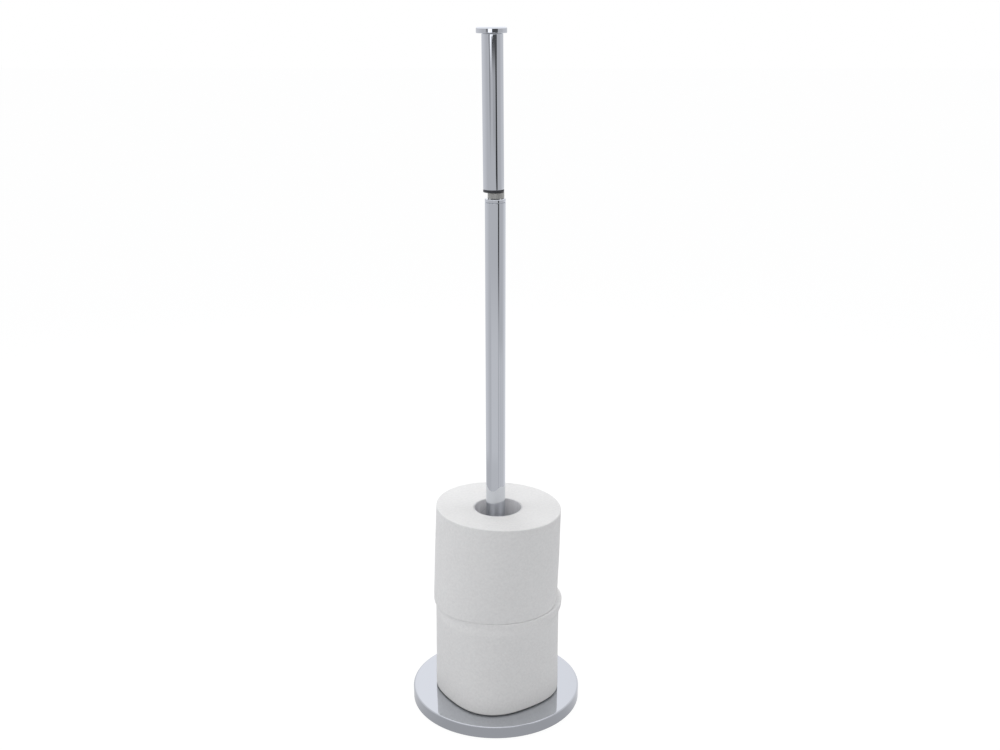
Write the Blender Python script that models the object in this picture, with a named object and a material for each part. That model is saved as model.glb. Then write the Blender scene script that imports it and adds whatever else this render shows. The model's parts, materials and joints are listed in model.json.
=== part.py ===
"""Freestanding toilet paper holder: weighted round base, tube pole, folding roll arm, two stored rolls.

Lengths are in metres and +Z is up. The origin is on the floor under the middle of the base, and -Y is
the front. The arm folds backwards, towards +Y, on a pin inside the top of the pole.
"""

import math
from typing import NamedTuple

import bmesh
import bpy
from mathutils import Vector

MM = 0.001

# Shared clearances
GAP = 0.3 * MM
OVERRUN = 4.0 * MM

# How finely round pieces are drawn
ROUND_SIDES = 64
SMALL_SIDES = 32
BASE_SIDES = 96
PAPER_SIDES = 60
EDGE_STEPS = 3
HINGE_STEPS = 20
HEX_SIDES = 6
SMOOTH_ANGLE = math.radians(35)

# Screw that holds the pole on the base
SCREW_RADIUS = 3.0 * MM
SCREW_HEAD_RADIUS = 5.4 * MM
SCREW_HEAD_HEIGHT = 3.0 * MM
SCREW_HEAD_CHAMFER = 0.6 * MM
SCREW_KEY_ACROSS_FLATS = 4.0 * MM
SCREW_KEY_DEPTH = 1.8 * MM
SCREW_ENGAGEMENT = 12.0 * MM
LOCK_WASHER_RADIUS = 5.6 * MM
LOCK_WASHER_THICKNESS = 1.3 * MM
LOCK_WASHER_SPLIT = 0.8 * MM
FLAT_WASHER_RADIUS = 9.0 * MM
FLAT_WASHER_THICKNESS = 1.0 * MM

# Base
BASE_RADIUS = 84.8 * MM
COVER_WALL = 1.0 * MM
COVER_EDGE_RADIUS = 1.2 * MM
COVER_FLOOR_GAP = 0.6 * MM
PAD_THICKNESS = 1.2 * MM
PAD_INSET = 4.0 * MM
PAD_HOLE_MARGIN = 2.0 * MM
RECESS_MARGIN = 1.0 * MM
WEIGHT_WEB = 4.1 * MM
WEIGHT_CHAMFER = 0.8 * MM

# Pole and arm tubes
TUBE_RADIUS = 9.3 * MM
TUBE_WALL = 1.0 * MM
POLE_TUBE_LENGTH = 489.2 * MM
POLE_FOOT_LENGTH = 16.0 * MM
ARM_TUBE_LENGTH = 128.7 * MM

# Folding joint
COLLAR_HEIGHT = 3.0 * MM
COLLAR_EDGE_RADIUS = 0.8 * MM
SWING_CLEARANCE = 0.5 * MM
SOCKET_FLOOR = 8.0 * MM
PIN_RADIUS = 2.0 * MM
HINGE_WASHER_RADIUS = 4.6 * MM
HINGE_WASHER_THICKNESS = 0.5 * MM
TONGUE_WIDTH = 8.0 * MM
TONGUE_RADIUS = 5.5 * MM
NECK_RADIUS = 7.35 * MM
NECK_HEIGHT = 5.1 * MM
NECK_SHIFT = 0.65 * MM
SPIGOT_RADIUS = 4.0 * MM
SPIGOT_LENGTH = 18.0 * MM

# Arm
ARM_SHIFT = -1.38 * MM
ARM_LEAN = math.radians(0.4)
BUSH_RING_HEIGHT = 2.0 * MM
BUSH_LENGTH = 14.0 * MM
TOP_PLUG_LENGTH = 14.0 * MM
CAP_RADIUS = 13.25 * MM
CAP_SHIFT = -0.67 * MM
CAP_THICKNESS = 5.0 * MM
CAP_TOP_EDGE_RADIUS = 1.4 * MM
CAP_UNDER_EDGE_RADIUS = 0.6 * MM
CAP_STUD_RADIUS = 2.5 * MM
CAP_STUD_LENGTH = 11.0 * MM

# Rolls
ROLL_RADIUS = 61.0 * MM
ROLL_HEIGHT = 98.25 * MM
CORE_RADIUS = 23.6 * MM
CORE_WALL = 0.9 * MM
PAPER_EDGE_RADIUS = 1.0 * MM

# Heights above the floor, from the base up
WEIGHT_BOTTOM = PAD_THICKNESS + GAP
SCREW_STACK = SCREW_HEAD_HEIGHT + LOCK_WASHER_THICKNESS + FLAT_WASHER_THICKNESS + 3 * GAP
WEIGHT_TOP = WEIGHT_BOTTOM + SCREW_STACK + WEIGHT_WEB
COVER_TOP = WEIGHT_TOP + GAP + COVER_WALL
POLE_BOTTOM = COVER_TOP + GAP
POLE_TOP = POLE_BOTTOM + POLE_TUBE_LENGTH
COLLAR_BOTTOM = POLE_TOP + GAP
RIM = COLLAR_BOTTOM + COLLAR_HEIGHT

# The pin lies far enough below the rim for the level arm to clear the back of the pole.
PIVOT_DEPTH = TUBE_RADIUS + SWING_CLEARANCE
PIVOT_HEIGHT = RIM - PIVOT_DEPTH
SHOULDER = PIVOT_DEPTH + GAP
NECK_TOP = SHOULDER + NECK_HEIGHT
ARM_START = NECK_TOP + GAP
ARM_TUBE_START = BUSH_RING_HEIGHT + GAP
ARM_TUBE_END = ARM_TUBE_START + ARM_TUBE_LENGTH
CAP_START = ARM_TUBE_END + GAP

# What fits inside what
BORE_RADIUS = TUBE_RADIUS - TUBE_WALL
PLUG_RADIUS = BORE_RADIUS - GAP
SCREW_HOLE_RADIUS = SCREW_RADIUS + GAP
RECESS_RADIUS = FLAT_WASHER_RADIUS + RECESS_MARGIN
WEIGHT_RADIUS = BASE_RADIUS - COVER_WALL - GAP
PIN_HOLE_RADIUS = PIN_RADIUS + GAP
SLOT_HALF_WIDTH = TONGUE_WIDTH / 2 + HINGE_WASHER_THICKNESS + 2 * GAP
SLOT_RADIUS = max(TONGUE_RADIUS, HINGE_WASHER_RADIUS) + GAP
CORE_START = COVER_TOP + GAP
CORE_HOLE_RADIUS = CORE_RADIUS + GAP


class Finish(NamedTuple):
    """Colour, roughness and metallic value of one material."""

    colour: tuple
    roughness: float
    metallic: float


CHROME = Finish((0.80, 0.81, 0.83), 0.05, 1.0)
ZINC_PLATE = Finish((0.62, 0.61, 0.58), 0.35, 1.0)
SATIN_STEEL = Finish((0.45, 0.44, 0.41), 0.45, 1.0)
SPRING_STEEL = Finish((0.30, 0.30, 0.32), 0.35, 1.0)
CAST_IRON = Finish((0.10, 0.10, 0.11), 0.75, 0.6)
BLACK_FOAM = Finish((0.03, 0.03, 0.03), 0.95, 0.0)
BLACK_NYLON = Finish((0.05, 0.05, 0.05), 0.45, 0.0)
TISSUE = Finish((0.86, 0.86, 0.84), 0.95, 0.0)
CARDBOARD = Finish((0.86, 0.86, 0.87), 0.90, 0.0)


class Lobe(NamedTuple):
    """A wave in a roll's outline: how many crests it has, how high they are and where one points."""

    crests: int
    height_share: float
    direction: float


class Section(NamedTuple):
    """A roll's outline at one share of its height. The other shares are of the roll's radius."""

    height_share: float
    middle_x_share: float
    middle_y_share: float
    radius_share: float
    lobes: tuple = ()


class Roll(NamedTuple):
    """A stored roll: where its core stands, in shares of its radius, and its outline from the bottom up."""

    name: str
    core_x_share: float
    core_y_share: float
    section_shares: tuple


# The rolls were squeezed out of round in their pack, and stand loosely round the pole.
LOWER_SECTION_SHARES = (
    Section(0.00, 0.016, -0.064, 0.985, (Lobe(4, 0.039, math.radians(-10)),)),
    Section(0.45, 0.020, -0.010, 0.993, (Lobe(4, 0.023, math.radians(-10)),)),
    Section(0.86, 0.026, 0.005, 1.008),
    Section(0.95, 0.050, 0.015, 1.007, (Lobe(2, 0.020, 0.0),)),
    Section(1.00, 0.050, 0.015, 1.007, (Lobe(2, 0.026, 0.0),)),
)
UPPER_TOP_LOBES = (Lobe(2, 0.050, math.radians(-44)), Lobe(4, 0.008, math.radians(45)))
UPPER_SECTION_SHARES = (
    Section(0.00, -0.006, 0.035, 1.025, (Lobe(4, 0.015, math.radians(45)),)),
    Section(0.50, 0.020, 0.033, 1.009, (Lobe(2, 0.020, math.radians(-48)),)),
    Section(1.00, 0.043, 0.027, 0.996, UPPER_TOP_LOBES),
)
LOWER_ROLL = Roll("lower_roll", 0.020, -0.016, LOWER_SECTION_SHARES)
UPPER_ROLL = Roll("upper_roll", 0.034, -0.035, UPPER_SECTION_SHARES)


def clear_scene():
    """Removes what the file opened with."""
    for old in list(bpy.data.objects):
        bpy.data.objects.remove(old, do_unlink=True)


def material(name, finish):
    """A Principled material with this finish."""
    made = bpy.data.materials.new(name)
    made.use_nodes = True
    shader = made.node_tree.nodes["Principled BSDF"]
    shader.inputs["Base Color"].default_value = (*finish.colour, 1.0)
    shader.inputs["Roughness"].default_value = finish.roughness
    shader.inputs["Metallic"].default_value = finish.metallic
    made.diffuse_color = (*finish.colour, 1.0)
    return made


def empty(name, place, parent=None):
    """An empty that carries a moving group."""
    made = bpy.data.objects.new(name, None)
    bpy.context.scene.collection.objects.link(made)
    made.location = place
    made.parent = parent
    return made


def piece(name, shape, finish=None, place=(0, 0, 0), parent=None):
    """An object from this bmesh, smooth-shaded but for its sharp edges."""
    bmesh.ops.recalc_face_normals(shape, faces=shape.faces)
    mesh = bpy.data.meshes.new(name)
    shape.to_mesh(mesh)
    shape.free()
    mesh.shade_smooth()
    mesh.set_sharp_from_angle(angle=SMOOTH_ANGLE)
    made = bpy.data.objects.new(name, mesh)
    bpy.context.scene.collection.objects.link(made)
    made.location = place
    made.parent = parent
    if finish is not None:
        mesh.materials.append(material(name, finish))
    return made


def boolean(target, tool, operation):
    """Cuts the tool from the target, or joins it on, and hides the tool."""
    change = target.modifiers.new(tool.name, "BOOLEAN")
    change.operation = operation
    change.solver = "EXACT"
    change.object = tool
    tool.hide_render = True
    tool.display_type = "WIRE"


def arc(middle_across, middle_up, radius, start, end, steps):
    """Points along an arc, from one angle to another."""
    turns = [start + (end - start) * step / steps for step in range(steps + 1)]
    return [(middle_across + radius * math.cos(t), middle_up + radius * math.sin(t)) for t in turns]


def ring_of_vertices(shape, points):
    """New vertices of a bmesh at these points."""
    return [shape.verts.new(point) for point in points]


def bridge(shape, low, high):
    """Faces between two rings, either of which may be a single point."""
    count = max(len(low), len(high))
    for i in range(count):
        j = (i + 1) % count
        if len(low) == 1:
            shape.faces.new((low[0], high[i], high[j]))
        elif len(high) == 1:
            shape.faces.new((low[i], low[j], high[0]))
        else:
            shape.faces.new((low[i], low[j], high[j], high[i]))


def turned(profile, sides, closed=False):
    """A solid turned about Z from (radius, height) points. A closed profile makes a ring."""
    shape = bmesh.new()
    rings = []
    for radius, height in profile:
        if radius == 0:
            rings.append(ring_of_vertices(shape, [(0, 0, height)]))
            continue
        turns = [math.tau * side / sides for side in range(sides)]
        points = [(radius * math.cos(t), radius * math.sin(t), height) for t in turns]
        rings.append(ring_of_vertices(shape, points))
    for low, high in zip(rings, rings[1:]):
        bridge(shape, low, high)
    if closed:
        bridge(shape, rings[-1], rings[0])
    return shape


def tube(outer, inner, bottom, top, sides):
    """A plain ring or tube."""
    return turned([(outer, bottom), (outer, top), (inner, top), (inner, bottom)], sides, closed=True)


def rod(radius, bottom, top, sides):
    """A plain solid cylinder."""
    return turned([(0, bottom), (radius, bottom), (radius, top), (0, top)], sides)


def extruded(outline, left, right):
    """A solid with this (y, z) outline, from one x to another."""
    shape = bmesh.new()
    near = ring_of_vertices(shape, [(left, y, z) for y, z in outline])
    far = ring_of_vertices(shape, [(right, y, z) for y, z in outline])
    bridge(shape, near, far)
    shape.faces.new(near)
    shape.faces.new(far)
    return shape


def along_x(shape):
    """Turns a shape made along Z so that it lies along X."""
    bmesh.ops.rotate(
        shape,
        verts=shape.verts,
        cent=Vector((0, 0, 0)),
        matrix=Vector((0, 0, 1)).rotation_difference(Vector((1, 0, 0))).to_matrix(),
    )
    return shape


def base_cover():
    """Chromed steel pan over the weight, with a rounded upper edge and a hole for the screw."""
    inner = BASE_RADIUS - COVER_WALL
    ceiling = COVER_TOP - COVER_WALL
    edge_middle = (BASE_RADIUS - COVER_EDGE_RADIUS, COVER_TOP - COVER_EDGE_RADIUS)
    profile = [(inner, COVER_FLOOR_GAP), (BASE_RADIUS, COVER_FLOOR_GAP)]
    profile += arc(*edge_middle, COVER_EDGE_RADIUS, 0, math.pi / 2, EDGE_STEPS)
    profile += [(SCREW_HOLE_RADIUS, COVER_TOP), (SCREW_HOLE_RADIUS, ceiling)]
    profile += arc(*edge_middle, COVER_EDGE_RADIUS - COVER_WALL, math.pi / 2, 0, EDGE_STEPS)
    return piece("base_cover", turned(profile, BASE_SIDES, closed=True), CHROME)


def base_weight():
    """Cast disc inside the cover, recessed from below for the screw head and washers."""
    recess_top = WEIGHT_BOTTOM + SCREW_STACK
    profile = [
        (RECESS_RADIUS, WEIGHT_BOTTOM),
        (WEIGHT_RADIUS, WEIGHT_BOTTOM),
        (WEIGHT_RADIUS, WEIGHT_TOP - WEIGHT_CHAMFER),
        (WEIGHT_RADIUS - WEIGHT_CHAMFER, WEIGHT_TOP),
        (SCREW_HOLE_RADIUS, WEIGHT_TOP),
        (SCREW_HOLE_RADIUS, recess_top),
        (RECESS_RADIUS, recess_top),
    ]
    return piece("base_weight", turned(profile, ROUND_SIDES, closed=True), CAST_IRON)


def base_pad():
    """Foam ring that the base stands on, open in the middle for the screw."""
    outer = WEIGHT_RADIUS - PAD_INSET
    inner = RECESS_RADIUS + PAD_HOLE_MARGIN
    return piece("base_pad", tube(outer, inner, 0, PAD_THICKNESS, ROUND_SIDES), BLACK_FOAM)


def pole_screw():
    """Socket-head screw, driven up through the base into the foot of the pole."""
    head_top = WEIGHT_BOTTOM + SCREW_HEAD_HEIGHT
    tip = POLE_BOTTOM + SCREW_ENGAGEMENT
    profile = [
        (0, WEIGHT_BOTTOM),
        (SCREW_HEAD_RADIUS - SCREW_HEAD_CHAMFER, WEIGHT_BOTTOM),
        (SCREW_HEAD_RADIUS, WEIGHT_BOTTOM + SCREW_HEAD_CHAMFER),
        (SCREW_HEAD_RADIUS, head_top),
        (SCREW_RADIUS, head_top),
        (SCREW_RADIUS, tip),
        (0, tip),
    ]
    made = piece("pole_screw", turned(profile, SMALL_SIDES), ZINC_PLATE)
    key_radius = SCREW_KEY_ACROSS_FLATS / 2 / math.cos(math.pi / HEX_SIDES)
    key_top = WEIGHT_BOTTOM + SCREW_KEY_DEPTH
    key = piece("pole_screw_key", rod(key_radius, WEIGHT_BOTTOM - OVERRUN, key_top, HEX_SIDES))
    boolean(made, key, "DIFFERENCE")
    return made


def lock_washer():
    """Split spring washer above the screw head."""
    bottom = WEIGHT_BOTTOM + SCREW_HEAD_HEIGHT + GAP
    top = bottom + LOCK_WASHER_THICKNESS
    ring = tube(LOCK_WASHER_RADIUS, SCREW_HOLE_RADIUS, bottom, top, SMALL_SIDES)
    made = piece("lock_washer", ring, SPRING_STEEL)
    half = LOCK_WASHER_SPLIT / 2
    outline = [
        (0, bottom - OVERRUN),
        (LOCK_WASHER_RADIUS + OVERRUN, bottom - OVERRUN),
        (LOCK_WASHER_RADIUS + OVERRUN, top + OVERRUN),
        (0, top + OVERRUN),
    ]
    boolean(made, piece("lock_washer_split", extruded(outline, -half, half)), "DIFFERENCE")
    return made


def flat_washer():
    """Washer between the spring washer and the weight."""
    bottom = WEIGHT_BOTTOM + SCREW_HEAD_HEIGHT + LOCK_WASHER_THICKNESS + 2 * GAP
    top = bottom + FLAT_WASHER_THICKNESS
    ring = tube(FLAT_WASHER_RADIUS, SCREW_HOLE_RADIUS, bottom, top, SMALL_SIDES)
    return piece("flat_washer", ring, ZINC_PLATE)


def pole_foot():
    """Tapped plug fixed in the bottom of the pole."""
    top = POLE_BOTTOM + POLE_FOOT_LENGTH
    ring = tube(PLUG_RADIUS, SCREW_HOLE_RADIUS, POLE_BOTTOM, top, SMALL_SIDES)
    return piece("pole_foot", ring, ZINC_PLATE)


def swing_cutter(name, hinge):
    """The space that the shoulder of the neck sweeps, behind the pin and outside its circle."""
    reach = PIVOT_DEPTH + OVERRUN
    outline = arc(0, 0, PIVOT_DEPTH, math.acos(GAP / PIVOT_DEPTH), 0, HINGE_STEPS)
    outline += [(reach, 0), (reach, reach), (GAP, reach)]
    return piece(name, extruded(outline, -reach, reach), parent=hinge)


def slot_cutter(name, hinge):
    """The slot for the tongue: open at the top and the back, closed in front and round at the bottom."""
    reach = TUBE_RADIUS + OVERRUN
    top = PIVOT_DEPTH + OVERRUN
    outline = arc(0, 0, SLOT_RADIUS, math.pi, 1.5 * math.pi, HINGE_STEPS // 2)
    outline += [(reach, -SLOT_RADIUS), (reach, top), (-SLOT_RADIUS, top)]
    return piece(name, extruded(outline, -SLOT_HALF_WIDTH, SLOT_HALF_WIDTH), parent=hinge)


def pole_tube(hinge):
    """Lower tube, cut away at the back of its top where the arm folds down."""
    below_slot = PIVOT_HEIGHT - SLOT_RADIUS - TUBE_WALL
    outside = [(TUBE_RADIUS, height) for height in (POLE_BOTTOM, below_slot, POLE_TOP)]
    inside = [(BORE_RADIUS, height) for height in (POLE_TOP, below_slot, POLE_BOTTOM)]
    made = piece("pole_tube", turned(outside + inside, ROUND_SIDES, closed=True), CHROME)
    boolean(made, swing_cutter("pole_tube_swing", hinge), "DIFFERENCE")
    boolean(made, slot_cutter("pole_tube_slot", hinge), "DIFFERENCE")
    return made


def hinge_socket(hinge):
    """Fork in the top of the pole: a chromed collar over a slotted plug that holds the pin."""
    collar_bottom = PIVOT_DEPTH - COLLAR_HEIGHT
    bottom = -SLOT_RADIUS - SOCKET_FLOOR
    profile = [(0, bottom), (PLUG_RADIUS, bottom), (PLUG_RADIUS, collar_bottom)]
    profile += [(TUBE_RADIUS, collar_bottom)]
    edge_middle = (TUBE_RADIUS - COLLAR_EDGE_RADIUS, PIVOT_DEPTH - COLLAR_EDGE_RADIUS)
    profile += arc(*edge_middle, COLLAR_EDGE_RADIUS, 0, math.pi / 2, EDGE_STEPS)
    profile += [(0, PIVOT_DEPTH)]
    made = piece("hinge_socket", turned(profile, ROUND_SIDES), CHROME, parent=hinge)
    boolean(made, swing_cutter("hinge_socket_swing", hinge), "DIFFERENCE")
    boolean(made, slot_cutter("hinge_socket_slot", hinge), "DIFFERENCE")
    reach = TUBE_RADIUS + OVERRUN
    hole = along_x(rod(PIN_HOLE_RADIUS, -reach, reach, SMALL_SIDES))
    boolean(made, piece("hinge_socket_hole", hole, parent=hinge), "DIFFERENCE")
    return made


def hinge_pin(hinge):
    """Pin across the fork, trapped inside the wall of the pole."""
    half = math.sqrt(PLUG_RADIUS**2 - PIN_RADIUS**2)
    shape = along_x(rod(PIN_RADIUS, -half, half, SMALL_SIDES))
    return piece("hinge_pin", shape, SATIN_STEEL, parent=hinge)


def hinge_washer(name, side, hinge):
    """Friction washer on one side of the tongue."""
    near = TONGUE_WIDTH / 2 + GAP
    ends = sorted((side * near, side * (near + HINGE_WASHER_THICKNESS)))
    ring = tube(HINGE_WASHER_RADIUS, PIN_HOLE_RADIUS, *ends, SMALL_SIDES)
    return piece(name, along_x(ring), SPRING_STEEL, parent=hinge)


def hinge_tongue(hinge, arm):
    """Flat tongue on the pin, with the round neck that shows in the joint and a spigot up into the arm."""
    half = TONGUE_WIDTH / 2
    root = SHOULDER + NECK_HEIGHT / 2
    outline = arc(0, 0, TONGUE_RADIUS, math.pi, math.tau, HINGE_STEPS)
    outline += [(TONGUE_RADIUS, root), (-TONGUE_RADIUS, root)]
    made = piece("hinge_tongue", extruded(outline, -half, half), SATIN_STEEL, parent=hinge)
    neck = rod(NECK_RADIUS, SHOULDER, NECK_TOP, ROUND_SIDES)
    boolean(made, piece("neck", neck, place=(NECK_SHIFT, 0, 0), parent=hinge), "UNION")
    spigot = rod(SPIGOT_RADIUS, -GAP - NECK_HEIGHT / 2, SPIGOT_LENGTH, SMALL_SIDES)
    boolean(made, piece("spigot", spigot, parent=arm), "UNION")
    reach = half + OVERRUN
    hole = along_x(rod(PIN_HOLE_RADIUS, -reach, reach, SMALL_SIDES))
    boolean(made, piece("hinge_tongue_hole", hole, parent=hinge), "DIFFERENCE")
    return made


def arm_bush(arm):
    """Black plug in the joint end of the arm, whose ring shows below the tube."""
    end = ARM_TUBE_START + BUSH_LENGTH
    inner = SPIGOT_RADIUS + GAP
    profile = [
        (inner, 0),
        (TUBE_RADIUS, 0),
        (TUBE_RADIUS, BUSH_RING_HEIGHT),
        (PLUG_RADIUS, BUSH_RING_HEIGHT),
        (PLUG_RADIUS, end),
        (inner, end),
    ]
    return piece("arm_bush", turned(profile, ROUND_SIDES, closed=True), BLACK_NYLON, parent=arm)


def arm_tube(arm):
    """Upper tube, which carries the roll in use when it is folded level."""
    shape = tube(TUBE_RADIUS, BORE_RADIUS, ARM_TUBE_START, ARM_TUBE_END, ROUND_SIDES)
    return piece("arm_tube", shape, CHROME, parent=arm)


def arm_top_plug(arm):
    """Tapped plug in the free end of the arm."""
    start = ARM_TUBE_END - TOP_PLUG_LENGTH
    shape = tube(PLUG_RADIUS, CAP_STUD_RADIUS + GAP, start, ARM_TUBE_END, SMALL_SIDES)
    return piece("arm_top_plug", shape, ZINC_PLATE, parent=arm)


def end_cap(arm):
    """Disc that keeps the roll on the arm, a little off its axis, with the stud that screws into the plug."""
    top = CAP_START + CAP_THICKNESS
    above, under = CAP_TOP_EDGE_RADIUS, CAP_UNDER_EDGE_RADIUS
    profile = [(0, CAP_START - CAP_STUD_LENGTH), (CAP_STUD_RADIUS, CAP_START - CAP_STUD_LENGTH)]
    profile += [(CAP_STUD_RADIUS, CAP_START)]
    profile += arc(CAP_RADIUS - under, CAP_START + under, under, -math.pi / 2, 0, EDGE_STEPS)
    profile += arc(CAP_RADIUS - above, top - above, above, 0, math.pi / 2, EDGE_STEPS)
    profile += [(0, top)]
    shape = turned(profile, ROUND_SIDES)
    disc = [v for v in shape.verts if v.co.z > CAP_START + GAP or v.co.xy.length > CAP_STUD_RADIUS + GAP]
    bmesh.ops.translate(shape, verts=disc, vec=Vector((CAP_SHIFT, 0, 0)))
    return piece("end_cap", shape, CHROME, parent=arm)


def core_middle(roll):
    """Where the middle of the roll's core stands, from the middle of the pole."""
    return Vector((roll.core_x_share, roll.core_y_share)) * ROLL_RADIUS


def section_point(section, direction, inset):
    """A point of one section's outline, as far inside it as the inset."""
    share = section.radius_share
    for lobe in section.lobes:
        share += lobe.height_share * math.cos(lobe.crests * (direction - lobe.direction))
    radius = share * ROLL_RADIUS - inset
    middle = Vector((section.middle_x_share, section.middle_y_share)) * ROLL_RADIUS
    return middle + Vector((math.cos(direction), math.sin(direction))) * radius


def outline_point(roll, height_share, direction, inset):
    """A point of the roll's outline, between the two sections that bound its height."""
    for low, high in zip(roll.section_shares, roll.section_shares[1:]):
        if height_share <= high.height_share:
            break
    blend = (height_share - low.height_share) / (high.height_share - low.height_share)
    return section_point(low, direction, inset).lerp(section_point(high, direction, inset), blend)


def paper_rings(roll):
    """(inset, height) of each ring of the paper's outside, from the bottom edge to the top edge."""
    edge = PAPER_EDGE_RADIUS
    low = arc(edge, edge, edge, 1.5 * math.pi, math.pi, EDGE_STEPS)
    high = arc(edge, ROLL_HEIGHT - edge, edge, math.pi, math.pi / 2, EDGE_STEPS)
    between = [(0, section.height_share * ROLL_HEIGHT) for section in roll.section_shares[1:-1]]
    return low + [ring for ring in between if low[-1][1] < ring[1] < high[0][1]] + high


def roll_paper(roll, carrier):
    """The wound paper: a round bore inside, and an outline that is squeezed out of round."""
    shape = bmesh.new()
    turns = [math.tau * side / PAPER_SIDES for side in range(PAPER_SIDES)]
    rings = []
    for inset, height in paper_rings(roll):
        points = [outline_point(roll, height / ROLL_HEIGHT, turn, inset) for turn in turns]
        rings.append(ring_of_vertices(shape, [(point.x, point.y, height) for point in points]))
    middle = core_middle(roll)
    bore = [middle + Vector((math.cos(turn), math.sin(turn))) * CORE_HOLE_RADIUS for turn in turns]
    for height in (ROLL_HEIGHT, 0):
        rings.append(ring_of_vertices(shape, [(point.x, point.y, height) for point in bore]))
    for low, high in zip(rings, rings[1:] + rings[:1]):
        bridge(shape, low, high)
    return piece(roll.name + "_paper", shape, TISSUE, parent=carrier)


def roll_core(roll, carrier):
    """Cardboard tube in the middle of the roll."""
    shape = tube(CORE_RADIUS, CORE_RADIUS - CORE_WALL, 0, ROLL_HEIGHT, SMALL_SIDES)
    place = (*core_middle(roll), 0)
    return piece(roll.name + "_core", shape, CARDBOARD, place=place, parent=carrier)


def build_base():
    """The weighted base and what screws the pole to it."""
    base_cover()
    base_weight()
    base_pad()
    pole_screw()
    lock_washer()
    flat_washer()
    pole_foot()


def build_joint(hinge, arm):
    """The pole's tube, the fork in its top and the tongue that folds in it."""
    pole_tube(hinge)
    hinge_socket(hinge)
    hinge_pin(hinge)
    hinge_washer("hinge_washer_left", -1, hinge)
    hinge_washer("hinge_washer_right", 1, hinge)
    hinge_tongue(hinge, arm)


def build_arm(arm):
    """The folding arm above the joint."""
    arm_bush(arm)
    arm_tube(arm)
    arm_top_plug(arm)
    end_cap(arm)


def build_rolls():
    """Two rolls, the upper one carried by the lower one."""
    below = empty("lower_roll_lift", (0, 0, CORE_START))
    above = empty("upper_roll_lift", (0, 0, ROLL_HEIGHT + GAP), parent=below)
    for roll, carrier in ((LOWER_ROLL, below), (UPPER_ROLL, above)):
        roll_core(roll, carrier)
        roll_paper(roll, carrier)


def main():
    """Builds the whole holder, standing upright."""
    clear_scene()
    hinge = empty("arm_hinge", (0, 0, PIVOT_HEIGHT))
    arm = empty("arm_axis", (ARM_SHIFT, 0, ARM_START), parent=hinge)
    arm.rotation_euler.y = -ARM_LEAN
    build_base()
    build_joint(hinge, arm)
    build_arm(arm)
    build_rolls()


main()
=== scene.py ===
"""Freestanding toilet paper holder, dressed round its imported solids.

A chromed pan, pole and folding arm stand over a satin steel joint with a black nylon bush, and two rolls of
tissue are stored on the pole. Lengths are in metres, +Z is up and -Y is the front.
"""

import json
import logging
import math
from dataclasses import dataclass
from enum import Enum
from typing import Iterable

import bmesh
import bpy
import numpy as np
from mathutils import Matrix, Vector


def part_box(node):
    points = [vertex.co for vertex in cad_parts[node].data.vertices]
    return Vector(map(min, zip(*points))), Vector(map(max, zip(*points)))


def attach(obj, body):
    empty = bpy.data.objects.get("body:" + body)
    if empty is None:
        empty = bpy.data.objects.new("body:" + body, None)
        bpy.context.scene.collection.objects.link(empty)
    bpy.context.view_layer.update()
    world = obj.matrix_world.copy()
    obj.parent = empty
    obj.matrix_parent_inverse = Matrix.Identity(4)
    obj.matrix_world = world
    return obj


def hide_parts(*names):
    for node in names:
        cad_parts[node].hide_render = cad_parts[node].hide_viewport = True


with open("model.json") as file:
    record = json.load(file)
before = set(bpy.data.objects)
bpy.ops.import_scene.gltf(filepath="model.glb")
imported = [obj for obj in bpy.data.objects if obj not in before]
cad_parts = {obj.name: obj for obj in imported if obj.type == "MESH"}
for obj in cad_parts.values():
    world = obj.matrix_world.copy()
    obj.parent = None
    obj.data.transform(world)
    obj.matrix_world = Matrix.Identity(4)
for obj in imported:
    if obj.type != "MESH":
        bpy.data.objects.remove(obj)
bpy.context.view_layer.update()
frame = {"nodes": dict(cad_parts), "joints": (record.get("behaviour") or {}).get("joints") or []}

MM = 0.001
WHITE = (1, 1, 1, 1)
LOG = logging.getLogger("toilet_paper_holder")
# Edge loops on a tube keep this many edge radii from its ends
TUBE_HOLD = 4

Piece = bpy.types.Object
Tree = bpy.types.NodeTree
Socket = bpy.types.NodeSocket
Profile = list[tuple[float, float]]


class Body(Enum):
    """The bodies that move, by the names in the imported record."""

    BASE = "base"
    ARM = "arm"
    LOWER_ROLL = "lower_roll"
    UPPER_ROLL = "upper_roll"


class Slot(Enum):
    """The record's material slots."""

    CHROME = "chrome"
    ZINC_PLATE = "zinc_plate"
    SATIN_STEEL = "satin_steel"
    SPRING_STEEL = "spring_steel"
    CAST_IRON = "cast_iron"
    BLACK_FOAM = "black_foam"
    BLACK_NYLON = "black_nylon"
    TISSUE = "tissue_paper"
    CORE_BOARD = "core_board"


# Nodes and finishes


def linear(hex_colour: str) -> tuple[float, float, float, float]:
    """Turns an sRGB hex colour to linear values.

    Args:
        hex_colour: Six hex digits after a hash sign.

    Returns:
        Red, green, blue and an alpha of one.
    """
    parts = [int(hex_colour[at:at + 2], 16) / 255 for at in (1, 3, 5)]
    return tuple(p / 12.92 if p <= 0.04045 else ((p + 0.055) / 1.055) ** 2.4 for p in parts) + (1.0,)


def cleared(owner: bpy.types.Material | bpy.types.World) -> Tree:
    """Gives a node tree, emptied.

    Args:
        owner: The material or the world that has it.

    Returns:
        The tree.
    """
    owner.use_nodes = True
    owner.node_tree.nodes.clear()
    return owner.node_tree


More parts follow.
